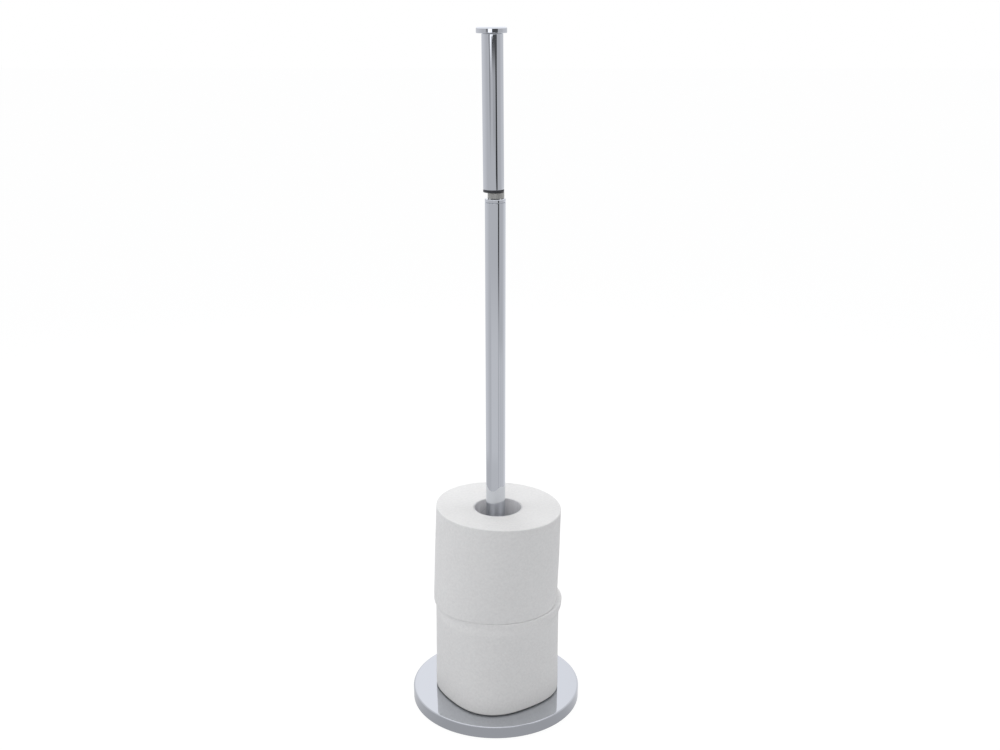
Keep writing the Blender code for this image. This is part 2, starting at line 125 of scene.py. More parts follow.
def add(
    tree: Tree, kind: str, inputs: dict | None = None, output: int | str = 0, **settings: object
) -> Socket | None:
    """Adds a node with its settings and its links or values.

    Args:
        tree: The node tree.
        kind: The node's type name.
        inputs: For each socket, by name or number, the socket that feeds it or its value.
        output: The output to give, by name or number.
        settings: Attributes of the node.

    Returns:
        That output, or None where the node has no outputs.
    """
    made = tree.nodes.new(kind)
    for name, value in settings.items():
        setattr(made, name, value)
    for key, value in (inputs or {}).items():
        if isinstance(value, Socket):
            tree.links.new(value, made.inputs[key])
        else:
            made.inputs[key].default_value = value
    return made.outputs[output] if len(made.outputs) else None


@dataclass
class Pattern:
    """What varies over a surface: its relief, where its second colour shows, and its haze."""

    relief: Socket | None = None
    mask: Socket | None = None
    haze: Socket | None = None


@dataclass(frozen=True)
class Finish:
    """A finish: its colours, how its surface shines and how deep its relief is. Each kind has its pattern."""

    name: str
    slot: Slot
    colour: str
    roughness: float
    metallic: float = 0.0
    second_colour: str = "#808080"
    haze_share: float = 0.0
    relief_strength: float = 0.8
    relief_depth: float = 0.02 * MM

    def material(self) -> bpy.types.Material:
        """Gives this finish's material, and makes it the first time."""
        return bpy.data.materials.get(self.name) or self.make()

    def make(self) -> bpy.types.Material:
        """Makes the material: a Principled shader with constants, over which the pattern is linked.

        Returns:
            The material.
        """
        made = bpy.data.materials.new(self.name)
        tree = cleared(made)
        shader = add(tree, "ShaderNodeBsdfPrincipled", {
            "Base Color": linear(self.colour), "Roughness": self.roughness, "Metallic": self.metallic})
        add(tree, "ShaderNodeOutputMaterial", {"Surface": shader})
        pattern = self.pattern(tree, add(tree, "ShaderNodeTexCoord", output="Object"))
        varied = {}
        if pattern.mask:
            varied["Base Color"] = add(tree, "ShaderNodeMix", {
                0: pattern.mask, 6: linear(self.colour), 7: linear(self.second_colour)}, 2, data_type="RGBA")
        if pattern.haze:
            varied["Roughness"] = add(tree, "ShaderNodeMapRange", {
                "Value": pattern.haze, "To Min": self.roughness * (1 - self.haze_share),
                "To Max": self.roughness * (1 + self.haze_share)})
        if pattern.relief:
            varied["Normal"] = add(tree, "ShaderNodeBump", {
                "Strength": self.relief_strength, "Distance": self.relief_depth, "Height": pattern.relief})
        for name, socket in varied.items():
            tree.links.new(socket, shader.node.inputs[name])
        return made

    def pattern(self, tree: Tree, spot: Socket) -> Pattern:
        """Adds what varies over the surface.

        Args:
            tree: The material's tree.
            spot: The point in the piece's own frame, which is also the row's frame at rest.

        Returns:
            What varies, as sockets that go from 0 to 1.
        """
        return Pattern()


@dataclass(frozen=True)
class ChromePlate(Finish):
    """Chrome over polished steel: a mirror with a faint swell from the buffing wheel and a thin haze."""

    swell: float = 60 * MM
    haze_patch: float = 22 * MM
    haze_share: float = 0.35
    relief_strength: float = 0.10
    relief_depth: float = 1 * MM

    def pattern(self, tree: Tree, spot: Socket) -> Pattern:
        """Varies the haze and lets the mirror swell a little.

        Args:
            tree: The material's tree.
            spot: The point in the piece's own frame.

        Returns:
            What varies.
        """
        haze, swell = (
            add(tree, "ShaderNodeTexNoise", {"Vector": spot, "Scale": 1 / size, "Detail": detail})
            for size, detail in ((self.haze_patch, 3.0), (self.swell, 0.0)))
        return Pattern(relief=swell, haze=haze)


@dataclass(frozen=True)
class TurnedSteel(Finish):
    """Steel turned on a lathe and left satin: fine rings round the axis, about 0.25 mm apart."""

    ring: float = 0.25 * MM
    streak: float = 25 * MM
    haze_share: float = 0.2
    relief_strength: float = 0.7
    relief_depth: float = 0.01 * MM

    def pattern(self, tree: Tree, spot: Socket) -> Pattern:
        """Adds the rings, which are noise drawn out flat round the axis.

        Args:
            tree: The material's tree.
            spot: The point in the piece's own frame.

        Returns:
            What varies.
        """
        drawn = add(tree, "ShaderNodeMapping", {
            "Vector": spot, "Scale": (1 / self.streak, 1 / self.streak, 1 / self.ring)})
        rings = add(tree, "ShaderNodeTexNoise", {"Vector": drawn, "Scale": 1.0, "Detail": 2.0})
        return Pattern(relief=rings, haze=rings)


@dataclass(frozen=True)
class MottledFinish(Finish):
    """A surface with two close colours in soft patches and a fine grain, such as plating or a casting."""

    patch: float = 3 * MM
    grain: float = 0.6 * MM

    def pattern(self, tree: Tree, spot: Socket) -> Pattern:
        """Adds the patches and the grain.

        Args:
            tree: The material's tree.
            spot: The point in the piece's own frame.

        Returns:
            What varies.
        """
        patches, grain = (
            add(tree, "ShaderNodeTexNoise", {"Vector": spot, "Scale": 1 / size, "Detail": detail})
            for size, detail in ((self.patch, 4.0), (self.grain, 2.0)))
        return Pattern(relief=grain, mask=patches)


@dataclass(frozen=True)
class FoamRubber(Finish):
    """Closed-cell foam rubber: black, dull, with burst cells about 0.7 mm across on its skin."""

    cell: float = 0.7 * MM
    relief_strength: float = 0.9
    relief_depth: float = 0.15 * MM

    def pattern(self, tree: Tree, spot: Socket) -> Pattern:
        """Sinks the cells into the skin."""
        return Pattern(relief=add(tree, "ShaderNodeTexVoronoi", {"Vector": spot, "Scale": 1 / self.cell}))


@dataclass(frozen=True)
class CoreBoard(Finish):
    """Board wound in a spiral, near white as painted light that lightens the shaded inside of the core:
    darker fibres in it and a seam every 75 mm or so.
    """

    second_colour: str = "#E2E2E5"
    seam_pitch: float = 75 * MM
    seam_share: float = 0.02
    fibre: float = 1.1 * MM
    fibre_rise_share: float = 0.12
    streak_range: tuple[float, float] = (0.35, 0.65)
    relief_strength: float = 0.5
    relief_depth: float = 0.08 * MM

    def pattern(self, tree: Tree, spot: Socket) -> Pattern:
        """Adds fibres drawn out along the winding, and the spiral seam from the piece's UV map.

        Args:
            tree: The material's tree.
            spot: The point in the piece's own frame.

        Returns:
            What varies.
        """
        drawn = add(tree, "ShaderNodeMapping", {
            "Vector": spot, "Scale": (1 / self.fibre, 1 / self.fibre, self.fibre_rise_share / self.fibre)})
        fibres = add(tree, "ShaderNodeTexNoise", {
            "Vector": drawn, "Scale": 1.0, "Detail": 4.0, "Roughness": 0.7})
        faint, full = self.streak_range
        streaks = add(tree, "ShaderNodeMapRange", {"Value": fibres, "From Min": faint, "From Max": full})
        around = add(tree, "ShaderNodeSeparateXYZ", {0: add(tree, "ShaderNodeUVMap")}).node.outputs
        turn = add(tree, "ShaderNodeMath", {
            0: around["Y"], 1: 1 / self.seam_pitch, 2: around["X"]}, operation="MULTIPLY_ADD")
        phase = add(tree, "ShaderNodeMath", {0: turn}, operation="FRACT")
        seam = add(tree, "ShaderNodeMath", {0: phase, 1: self.seam_share}, operation="LESS_THAN")
        either = add(tree, "ShaderNodeMath", {0: streaks, 1: seam}, operation="MAXIMUM")
        return Pattern(relief=fibres, mask=either)


@dataclass(frozen=True)
class CrepedTissue(Finish):
    """Soft creped tissue: white and dull, with crepe ridges about 0.5 mm apart and a downy, clouded sheet."""

    second_colour: str = "#E2E2E3"
    ridge: float = 0.5 * MM
    ridge_rise_share: float = 0.25
    cloud: float = 2.5 * MM
    layer: float = 0.45 * MM
    relief_depth: float = 0.18 * MM

    def pattern(self, tree: Tree, spot: Socket) -> Pattern:
        """Ridges run up the side of the roll, and on its ends the wound layers show as fine rings.

        Args:
            tree: The material's tree.
            spot: The point in the piece's own frame.

        Returns:
            What varies.
        """
        clouds = add(tree, "ShaderNodeTexNoise", {
            "Vector": spot, "Scale": 1 / self.cloud, "Detail": 5.0, "Roughness": 0.65})
        spread = add(tree, "ShaderNodeMapping", {
            "Vector": add(tree, "ShaderNodeUVMap"),
            "Scale": (1 / self.ridge, self.ridge_rise_share / self.ridge, 1.0)})
        crepe = add(tree, "ShaderNodeTexNoise", {
            "Vector": spread, "Scale": 1.0, "Detail": 3.0, "Roughness": 0.6}, noise_dimensions="2D")
        wound, ends = (
            add(tree, "ShaderNodeAttribute", output="Fac", attribute_name=label)
            for label in ("layers", "end_face"))
        rings = add(tree, "ShaderNodeTexNoise", {
            "W": wound, "Scale": 1 / self.layer, "Detail": 2.0}, noise_dimensions="1D")
        relief = add(tree, "ShaderNodeMix", {0: ends, 2: crepe, 3: rings}, data_type="FLOAT")
        return Pattern(relief=relief, mask=clouds)


# Chrome plate, polished on a wheel: a cool mirror that bends long reflections a little
CHROME = ChromePlate("chrome_plate_polished", Slot.CHROME, "#D3D6DB", 0.045, 1.0)
# Turned steel, left bare: a dull grey band with hairline rings round it
NECK_STEEL = TurnedSteel("satin_turned_steel", Slot.SATIN_STEEL, "#AFAFAB", 0.48, 1.0)
# Spring steel, hardened and oiled: dark, with a soft sheen
SPRING_STEEL = MottledFinish(
    "oiled_spring_steel", Slot.SPRING_STEEL, "#55565A", 0.34, 1.0, second_colour="#3E3F44")
# Bright zinc plate: pale and faintly clouded
ZINC = MottledFinish(
    "bright_zinc_plate", Slot.ZINC_PLATE, "#B9B9B4", 0.32, 1.0, second_colour="#A2A29C", patch=2 * MM)
# Iron cast in sand: nearly black, rough as the sand was
CAST_IRON = MottledFinish(
    "sand_cast_iron", Slot.CAST_IRON, "#2C2C2E", 0.72, 0.5, second_colour="#3A3633", patch=9 * MM,
    grain=1.4 * MM, relief_depth=0.25 * MM)
# Foam rubber, cut from sheet: black without a shine
FOAM = FoamRubber("closed_cell_foam_rubber", Slot.BLACK_FOAM, "#1B1B1C", 0.92)
# Nylon, moulded: black with a broad, weak highlight
NYLON = MottledFinish(
    "moulded_black_nylon", Slot.BLACK_NYLON, "#303135", 0.42, second_colour="#38393D", patch=5 * MM,
    grain=0.4 * MM)
# Paper board, wound in a spiral: dry, with faint streaks along the winding; its near-white colour is painted
# light, paler than the real board, to lighten the shade inside the core
BOARD_WITH_PAINTED_LIGHT = CoreBoard("spiral_wound_core_board", Slot.CORE_BOARD, "#F4F4F7", 0.9)
# Toilet tissue, creped and embossed: soft white without a highlight
TISSUE = CrepedTissue("creped_toilet_tissue", Slot.TISSUE, "#F9F9F9", 0.95)


# Meshes


def arc(across: float, up: float, radius: float, start: float, end: float, steps: int = 8) -> Profile:
    """Gives points along an arc.

    Args:
        across: The middle's distance from the axis.
        up: The middle's height.
        radius: The arc's radius.
        start: First angle in degrees.
        end: Last angle in degrees.
        steps: Number of steps.

    Returns:
        (radius, height) points.
    """
    turns = [math.radians(start + (end - start) * step / steps) for step in range(steps + 1)]
    return [(across + radius * math.cos(t), up + radius * math.sin(t)) for t in turns]


def side(
    radius: float, low: float, high: float, lower: float, upper: float,
    between: Iterable[float] = (), steps: tuple[int, int] = (6, 6)
) -> Profile:
    """Gives the outside of a turned piece, up from its lower rounded edge to its upper one.

    Args:
        radius: The outside's radius.
        low: The height of its foot.
        high: The height of its top.
        lower: The lower edge's radius.
        upper: The upper edge's radius.
        between: Heights of the points between the edges.
        steps: Steps of the lower and the upper edge.

    Returns:
        (radius, height) points.
    """
    foot = arc(radius - lower, low + lower, lower, -90, 0, steps[0])
    return foot + [(radius, z) for z in between] + arc(radius - upper, high - upper, upper, 0, 90, steps[1])


def rod(radius: float, low: float, high: float) -> Profile:
    """Gives the profile of a plain round rod."""
    return [(0, low), (radius, low), (radius, high), (0, high)]


def mesh_object(name: str, points: Iterable, faces: Iterable) -> Piece:
    """Makes a smooth-shaded object from points and faces.

    Args:
        name: The object's name.
        points: Vertex places.
        faces: Vertex numbers of each face.

    Returns:
        The object, in the scene.
    """
    mesh = bpy.data.meshes.new(name)
    mesh.from_pydata([tuple(p) for p in points], [], [tuple(f) for f in faces])
    made = bpy.data.objects.new(name, mesh)
    bpy.context.scene.collection.objects.link(made)
    smooth(made)
    return made


def smooth(piece: Piece, angle: float = 32.0) -> None:
    """Shades a piece smooth but for its sharp edges, after its faces are turned outwards.

    Args:
        piece: The piece.
        angle: From how many degrees an edge is sharp.
    """
    shape = bmesh.new()
    shape.from_mesh(piece.data)
    bmesh.ops.recalc_face_normals(shape, faces=shape.faces)
    shape.to_mesh(piece.data)
    shape.free()
    piece.data.shade_smooth()
    piece.data.set_sharp_from_angle(angle=math.radians(angle))


def grid_faces(rows: int, columns: int, closed_rows: bool) -> list[tuple[int, int, int, int]]:
    """Numbers the faces of rings of vertices.

    Args:
        rows: Number of rings.
        columns: Vertices in each ring, which closes on itself.
        closed_rows: Whether the last ring joins the first.

    Returns:
        The vertex numbers of each face.
    """
    faces = []
    for row in range(rows if closed_rows else rows - 1):
        here, there = row * columns, (row + 1) % rows * columns
        for column in range(columns):
            beside = (column + 1) % columns
            faces.append((here + column, here + beside, there + beside, there + column))
    return faces


def turned(name: str, profile: Profile, sides: int = 160) -> Piece:
    """Turns a closed profile about Z into a ring-shaped solid. A point on the axis closes that end.

    Args:
        name: The object's name.
        profile: (radius, height) points, in order.
        sides: Faces round the axis.

    Returns:
        The object.
    """
    turns = np.linspace(0, math.tau, sides, endpoint=False)
    points, rings = [], []
    for radius, height in profile:
        rings.append(range(len(points), len(points) + (1 if radius == 0 else sides)))
        if radius == 0:
            points.append((0.0, 0.0, height))
        else:
            points += [(radius * math.cos(t), radius * math.sin(t), height) for t in turns]
    faces = []
    solid = profile[0][0] == 0
    for low, high in zip(rings, rings[1:] + ([] if solid else rings[:1])):
        for i in range(sides):
            j = (i + 1) % sides
            if len(low) == 1:
                faces.append((low[0], high[i], high[j]))
            elif len(high) == 1:
                faces.append((low[i], low[j], high[0]))
            else:
                faces.append((low[i], low[j], high[j], high[i]))
    return mesh_object(name, points, faces)


def extruded(name: str, outline: Profile, left: float, right: float) -> Piece:
    """Makes a solid with one outline all along X.

    Args:
        name: The object's name.
        outline: (y, z) points, in order.
        left: The x of its left end.
        right: The x of its right end.

    Returns:
        The object.
    """
    count = len(outline)
    points = [(x, y, z) for x in (left, right) for y, z in outline]
    faces = [tuple(range(count)), tuple(range(2 * count - 1, count - 1, -1))]
    faces += [(i, (i + 1) % count, count + (i + 1) % count, count + i) for i in range(count)]
    return mesh_object(name, points, faces)


def cut(target: Piece, tool: Piece, operation: str = "DIFFERENCE") -> None:
    """Cuts the tool from the target, or joins it on, and deletes the tool.

    Args:
        target: The piece that stays.
        tool: The piece that is used up.
        operation: The Boolean modifier's operation.
    """
    change = target.modifiers.new("cut", "BOOLEAN")
    change.operation = operation
    change.solver = "EXACT"
    change.object = tool
    bake(target)
    bpy.data.objects.remove(tool)


def bake(piece: Piece) -> None:
    """Turns what a piece's modifiers make into its plain mesh.

    Args:
        piece: The piece.
    """
    result = bpy.data.meshes.new_from_object(piece.evaluated_get(bpy.context.evaluated_depsgraph_get()))
    piece.modifiers.clear()
    piece.data = result


def wrap_uv(piece: Piece, around: float) -> None:
    """Gives a piece a UV map that goes round the Z axis.

    Args:
        piece: The piece.
        around: How far the map goes for each radian.
    """
    uv = piece.data.uv_layers.new(name="wrap")
    for loop in piece.data.loops:
        spot = piece.data.vertices[loop.vertex_index].co
        uv.data[loop.index].uv = (math.atan2(spot.y, spot.x) * around, spot.z)


def geometry_tree(name: str, sizes: dict[str, float]) -> tuple[Tree, bpy.types.NodeOutputs]:
    """Makes a geometry tree with one geometry input and named sizes.

    Args:
        name: The tree's name.
        sizes: Name and default of each size.

    Returns:
        The tree and its inputs, as sockets by name.
    """
    tree = bpy.data.node_groups.new(name, "GeometryNodeTree")
    tree.interface.new_socket("Geometry", in_out="INPUT", socket_type="NodeSocketGeometry")
    for label, value in sizes.items():
        tree.interface.new_socket(label, in_out="INPUT", socket_type="NodeSocketFloat").default_value = value
    tree.interface.new_socket("Geometry", in_out="OUTPUT", socket_type="NodeSocketGeometry")
    return tree, add(tree, "NodeGroupInput").node.outputs


def grow(piece: Piece, tree: Tree, geometry: Socket, finish: Finish, sizes: dict[str, float]) -> None:
    """Ends a geometry tree, runs it on a piece and keeps the result as the piece's plain mesh.

    Args:
        piece: The piece.
        tree: The geometry tree.
        geometry: The socket with what the tree makes.
        finish: The finish that it sets.
        sizes: The value of each named input.
    """
    real = add(tree, "GeometryNodeRealizeInstances", {0: geometry})
    painted = add(tree, "GeometryNodeSetMaterial", {0: real, "Material": finish.material()})
    add(tree, "NodeGroupOutput", {0: painted})
    change = piece.modifiers.new(tree.name, "NODES")
    change.node_group = tree
    for item in tree.interface.items_tree:
        if item.item_type == "SOCKET" and item.in_out == "INPUT" and item.name in sizes:
            change[item.identifier] = sizes[item.name]
    bake(piece)


# Ties to the frame


def hand_over(piece: Piece, finish: Finish, body: Body, *nodes: str) -> None:
    """Dresses a finished piece and ties it to the frame.

    Args:
        piece: The piece.
        finish: Its finish, which has its material slot.
        body: The body it moves with.
        nodes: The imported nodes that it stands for.
    """
    piece.data.materials.clear()
    piece.data.materials.append(finish.material())
    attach(piece, body.value)
    if nodes:
        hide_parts(*nodes)
    LOG.info("%s: %d faces, rides on %s", piece.name, len(piece.data.polygons), body.value)


def redress(**finishes: Finish) -> None:
    """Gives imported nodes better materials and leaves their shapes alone.

    Args:
        finishes: Each node's finish.
    """
    for node, finish in finishes.items():
        for socket in frame["nodes"][node].material_slots:
            socket.material = finish.material()
        LOG.info("%s: kept, dressed in %s", node, finish.name)


def pivot() -> Vector:
    """Gives the place of the arm's pin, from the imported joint."""
    return Vector(next(joint["pos_m"] for joint in frame["joints"] if joint["name"] == "arm_fold"))


def bore(piece: Piece, radius: float, reach: float) -> None:
    """Bores a piece along the arm's pin.

    Args:
        piece: The piece.
        radius: The hole's radius.
        reach: How far to cut on each side of the middle.
    """
    hole = turned("bore", rod(radius, -reach, reach), sides=64)
    hole.data.transform(Matrix.Translation(pivot()) @ Matrix.Rotation(math.pi / 2, 4, "Y"))
    cut(piece, hole)
    smooth(piece)


# The holder's own sub-assemblies


@dataclass
class Base:
    """The weighted base: a chromed pan over a cast disc on a foam ring, and what screws the pole to it."""

    wall: float = 1.0 * MM
    edge_radius: float = 1.2 * MM
    # Edge loops keep these many edge radii from the edge, on the skirt and on the top
    hold_share: float = 1.5
    top_hold_share: float = 2.0
    flat_share: float = 0.6
    lip_radius: float = 0.35 * MM
    screw_hole_radius: float = 3.3 * MM
    head_radius: float = 5.4 * MM
    head_height: float = 3.0 * MM
    head_edge: float = 0.5 * MM
    key_across_flats: float = 4.0 * MM
    key_depth: float = 1.8 * MM
    shank_radius: float = 2.75 * MM
    crest_radius: float = 3.2 * MM
    thread_pitch: float = 1.0 * MM
    thread_length: float = 13.0 * MM
    thread_steps: int = 32

    def build(self) -> None:
        """Builds and dresses every piece of the base."""
        self.pan()
        self.screw()
        redress(base_weight=CAST_IRON, base_pad=FOAM, lock_washer=SPRING_STEEL, flat_washer=ZINC)

    def pan(self) -> None:
        """Builds the pan: a skirt with a rolled lower lip, a small rounded upper edge and a flat top."""
        low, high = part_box("base_cover")
        radius, edge, under = high.x, self.edge_radius, high.z - self.wall
        hold = self.hold_share * edge
        profile = side(radius, low.z, high.z, self.lip_radius, edge, (low.z + hold, high.z - hold), (6, 12))
        profile += [(radius - self.top_hold_share * edge, high.z), (self.flat_share * radius, high.z)]
        profile += [(self.screw_hole_radius, high.z), (self.screw_hole_radius, under)]
        profile += [(self.flat_share * radius, under)]
        profile += arc(radius - edge, high.z - edge, edge - self.wall, 90, 0) + [(radius - self.wall, low.z)]
        hand_over(turned("base_pan", profile, sides=320), CHROME, Body.BASE, "base_cover")

    def screw(self) -> None:
        """Builds the socket-head screw and its thread."""
        low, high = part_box("pole_screw")
        edge, head_top = self.head_edge, low.z + self.head_height
        profile = [(0, low.z)] + side(self.head_radius, low.z, head_top, edge, edge)
        profile += [(self.shank_radius, head_top), (self.shank_radius, high.z - edge)]
        profile += [(self.shank_radius - edge, high.z), (0, high.z)]
        screw = turned("pole_screw_body", profile, sides=96)
        key = rod(self.key_across_flats / math.sqrt(3), low.z - self.head_height, low.z + self.key_depth)
        cut(screw, turned("key", key, sides=6))
        smooth(screw)
        thread = self.thread(high.z - self.thread_length, high.z - self.thread_pitch)
        hand_over(screw, ZINC, Body.BASE, "pole_screw")
        hand_over(thread, ZINC, Body.BASE)

    def thread(self, bottom: float, top: float) -> Piece:
        """Winds the screw's thread with geometry nodes: a ridge with a triangular section along a helix.

        Args:
            bottom: Where the thread starts.
            top: Where it ends.

        Returns:
            The thread.
        """
        climb = top - bottom
        sizes = {"Root": self.shank_radius, "Ridge": self.crest_radius - self.shank_radius,
                 "Turns": climb / self.thread_pitch, "Climb": climb}
        tree, sockets = geometry_tree("pole_screw_thread", sizes)
        helix = add(tree, "GeometryNodeCurveSpiral", {
            "Resolution": self.thread_steps, "Rotations": sockets["Turns"], "Start Radius": sockets["Root"],
            "End Radius": sockets["Root"], "Height": sockets["Climb"]})
        section = add(tree, "GeometryNodeCurvePrimitiveCircle", {
            "Resolution": 3, "Radius": sockets["Ridge"]}, mode="RADIUS")
        swept = add(tree, "GeometryNodeCurveToMesh", {
            "Curve": helix, "Profile Curve": section, "Fill Caps": True})
        made = mesh_object(tree.name, [(0, 0, 0)], [])
        grow(made, tree, swept, ZINC, sizes)
        made.data.transform(Matrix.Translation((0, 0, bottom)))
        smooth(made)
        return made


@dataclass
class Pole:
    """The lower tube, and the chromed fork and collar that the arm folds in."""

    radius: float = 9.3 * MM
    wall: float = 1.0 * MM
    gap: float = 0.3 * MM
    end_edge: float = 0.25 * MM
    end_band: float = 30.0 * MM
    collar_edge: float = 0.8 * MM
    edge_hold: float = 0.15 * MM
    fork_edge: float = 0.3 * MM
    swing_clearance: float = 0.5 * MM
    slot_half_width: float = 5.1 * MM
    slot_radius: float = 5.8 * MM
    pin_hole_radius: float = 2.3 * MM
    overrun: float = 4.0 * MM

    def build(self) -> None:
        """Builds the tube and the fork, and dresses what is hidden in the joint."""
        self.tube()
        self.fork()
        redress(
            pole_foot=ZINC, hinge_pin=NECK_STEEL, hinge_washer_left=SPRING_STEEL,
            hinge_washer_right=SPRING_STEEL)

    def clear_swing(self, piece: Piece) -> None:
        """Cuts away what the neck and the tongue sweep when the arm folds back.

        Args:
            piece: The tube or the fork.
        """
        depth = self.radius + self.swing_clearance
        reach = depth + self.overrun
        height = pivot().z
        start = math.degrees(math.acos(self.gap / depth))
        sweep = arc(0, height, depth, start, 0, 48)
        sweep += [(reach, height), (reach, height + reach), (self.gap, height + reach)]
        cut(piece, extruded("sweep", sweep, -reach, reach))
        slot = arc(0, height, self.slot_radius, 180, 270, 24)
        slot += [(reach, height - self.slot_radius), (reach, height + reach)]
        slot += [(-self.slot_radius, height + reach)]
        cut(piece, extruded("slot", slot, -self.slot_half_width, self.slot_half_width))
        smooth(piece)

    def tube(self) -> None:
        """Builds the tube with its deburred ends."""
        low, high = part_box("pole_tube")
        inner, edge, band = self.radius - self.wall, self.end_edge, high.z - self.end_band
        hold = TUBE_HOLD * edge
        profile = side(self.radius, low.z, high.z, edge, edge, (low.z + hold, band, high.z - hold), (4, 4))
        profile += [(inner, high.z), (inner, band), (inner, low.z)]
        tube = turned("pole_lower_tube", profile, sides=192)
        self.clear_swing(tube)
        hand_over(tube, CHROME, Body.BASE, "pole_tube")

    def fork(self) -> None:
        """Builds the collar, with its rounded rim, over the slotted plug that holds the pin."""
        low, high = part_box("hinge_socket")
        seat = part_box("pole_tube")[1].z + self.gap
        plug, edge, foot = self.radius - self.wall - self.gap, self.collar_edge, self.fork_edge
        profile = [(0, low.z)] + arc(plug - foot, low.z + foot, foot, -90, 0, 4) + [(plug, seat)]
        holds = (seat + foot + self.edge_hold, high.z - edge - self.edge_hold)
        profile += side(self.radius, seat, high.z, foot, edge, holds, (4, 10))
        profile += [(self.radius - edge - self.edge_hold, high.z), (0, high.z)]
        fork = turned("pole_collar", profile, sides=192)
        self.clear_swing(fork)
        bore(fork, self.pin_hole_radius, 2 * self.radius)
        hand_over(fork, CHROME, Body.BASE, "hinge_socket")


@dataclass
class Arm:
    """The folding arm: a tongue with a round neck, a black bush, the upper tube and the disc at its end."""

    radius: float = 9.3 * MM
    wall: float = 1.0 * MM
    gap: float = 0.3 * MM
    end_edge: float = 0.35 * MM
    ring_height: float = 2.0 * MM
    ring_edge: float = 0.3 * MM
    bush_length: float = 14.0 * MM
    cap_radius: float = 13.25 * MM
    cap_shift: float = -0.67 * MM
    cap_edge: float = 1.4 * MM
    cap_under_edge: float = 0.6 * MM
    edge_hold: float = 0.15 * MM
    stud_radius: float = 2.5 * MM
    stud_length: float = 11.0 * MM
    tongue_width: float = 8.0 * MM
    tongue_radius: float = 5.5 * MM
    neck_radius: float = 7.35 * MM
    neck_height: float = 5.1 * MM
    neck_shift: float = 0.65 * MM
    neck_edge: float = 0.3 * MM
    shoulder: float = 10.1 * MM
    spigot_radius: float = 4.0 * MM
    spigot_length: float = 18.0 * MM
    pin_hole_radius: float = 2.3 * MM
    ring_band: float = 1.0 * MM

    def build(self) -> None:
        """Builds the arm's pieces along its own axis."""
        self.tongue()
        self.bush()
        self.tube()
        self.cap()
        redress(arm_top_plug=ZINC)

    def axis(self) -> Matrix:
        """Gives the arm's own frame, whose Z runs along it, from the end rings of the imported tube.

        Returns:
            The matrix that lays a piece made along Z on the arm.
        """
        points = np.array([v.co for v in frame["nodes"]["arm_tube"].data.vertices])
        ends = []
        for height in (points[:, 2].min(), points[:, 2].max()):
            ring = points[np.abs(points[:, 2] - height) < self.ring_band]
            ends.append(Vector((ring.min(0) + ring.max(0)) / 2))
        turn = Vector((0, 0, 1)).rotation_difference(ends[1] - ends[0])
        return Matrix.Translation(ends[0]) @ turn.to_matrix().to_4x4()

    def end_of(self, node: str) -> float:
        """Gives how far along the arm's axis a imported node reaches."""
        along = self.axis().inverted()
        return max((along @ v.co).z for v in frame["nodes"][node].data.vertices)

    def lay(self, piece: Piece) -> Piece:
        """Puts a piece made along Z on the arm's axis, in its mesh."""
        piece.data.transform(self.axis())
        return piece

    def tongue(self) -> None:
        """Builds the tongue, the neck that shows in the joint and the spigot up into the arm."""
        height = pivot().z
        half, edge = self.tongue_width / 2, self.neck_edge
        bottom = height + self.shoulder
        top, middle = bottom + self.neck_height, bottom + self.neck_height / 2
        outline = arc(0, height, self.tongue_radius, 180, 360, 40)
        outline += [(self.tongue_radius, middle), (-self.tongue_radius, middle)]
        tongue = extruded("arm_tongue", outline, -half, half)
        profile = side(self.neck_radius, bottom, top, edge, edge, steps=(5, 5))
        neck = turned("neck", [(0, bottom)] + profile + [(0, top)], sides=160)
        neck.data.transform(Matrix.Translation((self.neck_shift, 0, 0)))
        cut(tongue, neck, "UNION")
        start = -self.gap - self.ring_height
        spigot = rod(self.spigot_radius, start - self.neck_height / 2, start + self.spigot_length)
        cut(tongue, self.lay(turned("spigot", spigot, sides=96)), "UNION")
        bore(tongue, self.pin_hole_radius, 2 * half)
        hand_over(tongue, NECK_STEEL, Body.ARM, "hinge_tongue")

    def bush(self) -> None:
        """Builds the bush, whose ring shows as a black line under the tube."""
        bottom = -self.gap - self.ring_height
        plug, edge = self.radius - self.wall - self.gap, self.ring_edge
        inner = self.spigot_radius + self.gap
        profile = [(inner, bottom)] + side(self.radius, bottom, -self.gap, edge, edge, steps=(5, 5))
        profile += [(plug, -self.gap), (plug, self.bush_length), (inner, self.bush_length)]
        bush = self.lay(turned("arm_black_bush", profile, sides=160))
        hand_over(bush, NYLON, Body.ARM, "arm_bush")

    def tube(self) -> None:
        """Builds the upper tube with its deburred ends."""
        inner, edge, length = self.radius - self.wall, self.end_edge, self.end_of("arm_tube")
        between = (TUBE_HOLD * edge, length / 2, length - TUBE_HOLD * edge)
        profile = side(self.radius, 0, length, edge, edge, between, (5, 5)) + [(inner, length), (inner, 0)]
        hand_over(self.lay(turned("arm_upper_tube", profile, sides=192)), CHROME, Body.ARM, "arm_tube")

    def cap(self) -> None:
        """Builds the disc with its rounded edges, a little off the axis as the real one, and its stud."""
        bottom, top = self.end_of("arm_tube") + self.gap, self.end_of("end_cap")
        radius, above, below = self.cap_radius, self.cap_edge, self.cap_under_edge
        profile = [(0, bottom - self.stud_length), (self.stud_radius, bottom - self.stud_length)]
        holds = (bottom + below + self.edge_hold, top - above - self.edge_hold)
        profile += [(self.stud_radius, bottom)] + side(radius, bottom, top, below, above, holds, (8, 10))
        profile += [(radius - above - self.edge_hold, top), (radius / 2, top), (0, top)]
        disc = turned("arm_end_disc", profile, sides=192)
        for spot in disc.data.vertices:
            if spot.co.z > bottom + self.gap or spot.co.xy.length > self.stud_radius + self.gap:
                spot.co.x += self.cap_shift
        hand_over(self.lay(disc), CHROME, Body.ARM, "end_cap")


@dataclass(frozen=True)
class Lobe:
    """A wave in a roll's outline: how many crests it has, how high they are and where one points."""

    crests: int
    height_share: float
    degrees: float


